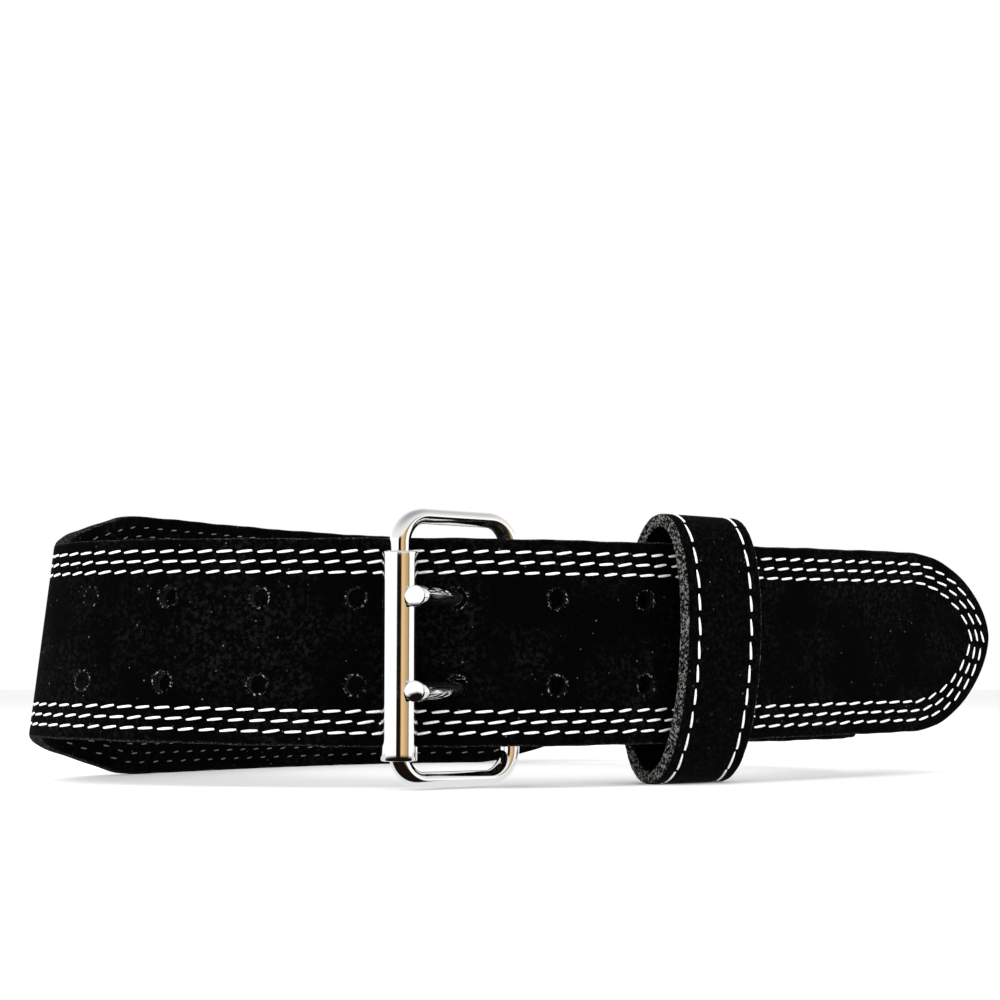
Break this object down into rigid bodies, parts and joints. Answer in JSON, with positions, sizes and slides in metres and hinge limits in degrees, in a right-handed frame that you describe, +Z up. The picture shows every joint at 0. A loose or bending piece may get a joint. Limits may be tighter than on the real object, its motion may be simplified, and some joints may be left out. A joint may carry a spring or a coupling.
{
  "type": "weightlifting belt",
  "caption": "Buckled suede leather lifting belt with a wide back panel, a roller buckle with prongs, a keeper loop and a rounded free end, standing on its lower edge.",
  "frame": {"origin": "centre of the footprint on the surface that the belt stands on", "axes": "+Z up, the buckle faces -Y, the free end points to +X"},
  "size_m": [0.3708, 0.2432, 0.1016],
  "materials": {
    "suede": "matte black suede with white lockstitching",
    "keeper_suede": "matte black suede with raw cut edges",
    "chrome": "polished"
  },
  "bodies": {
    "root": {"belt_body": "suede", "buckle_frame": "chrome", "roller": "chrome", "prong_upper": "chrome", "prong_lower": "chrome", "keeper_loop": "keeper_suede"}
  },
  "joints": []
}
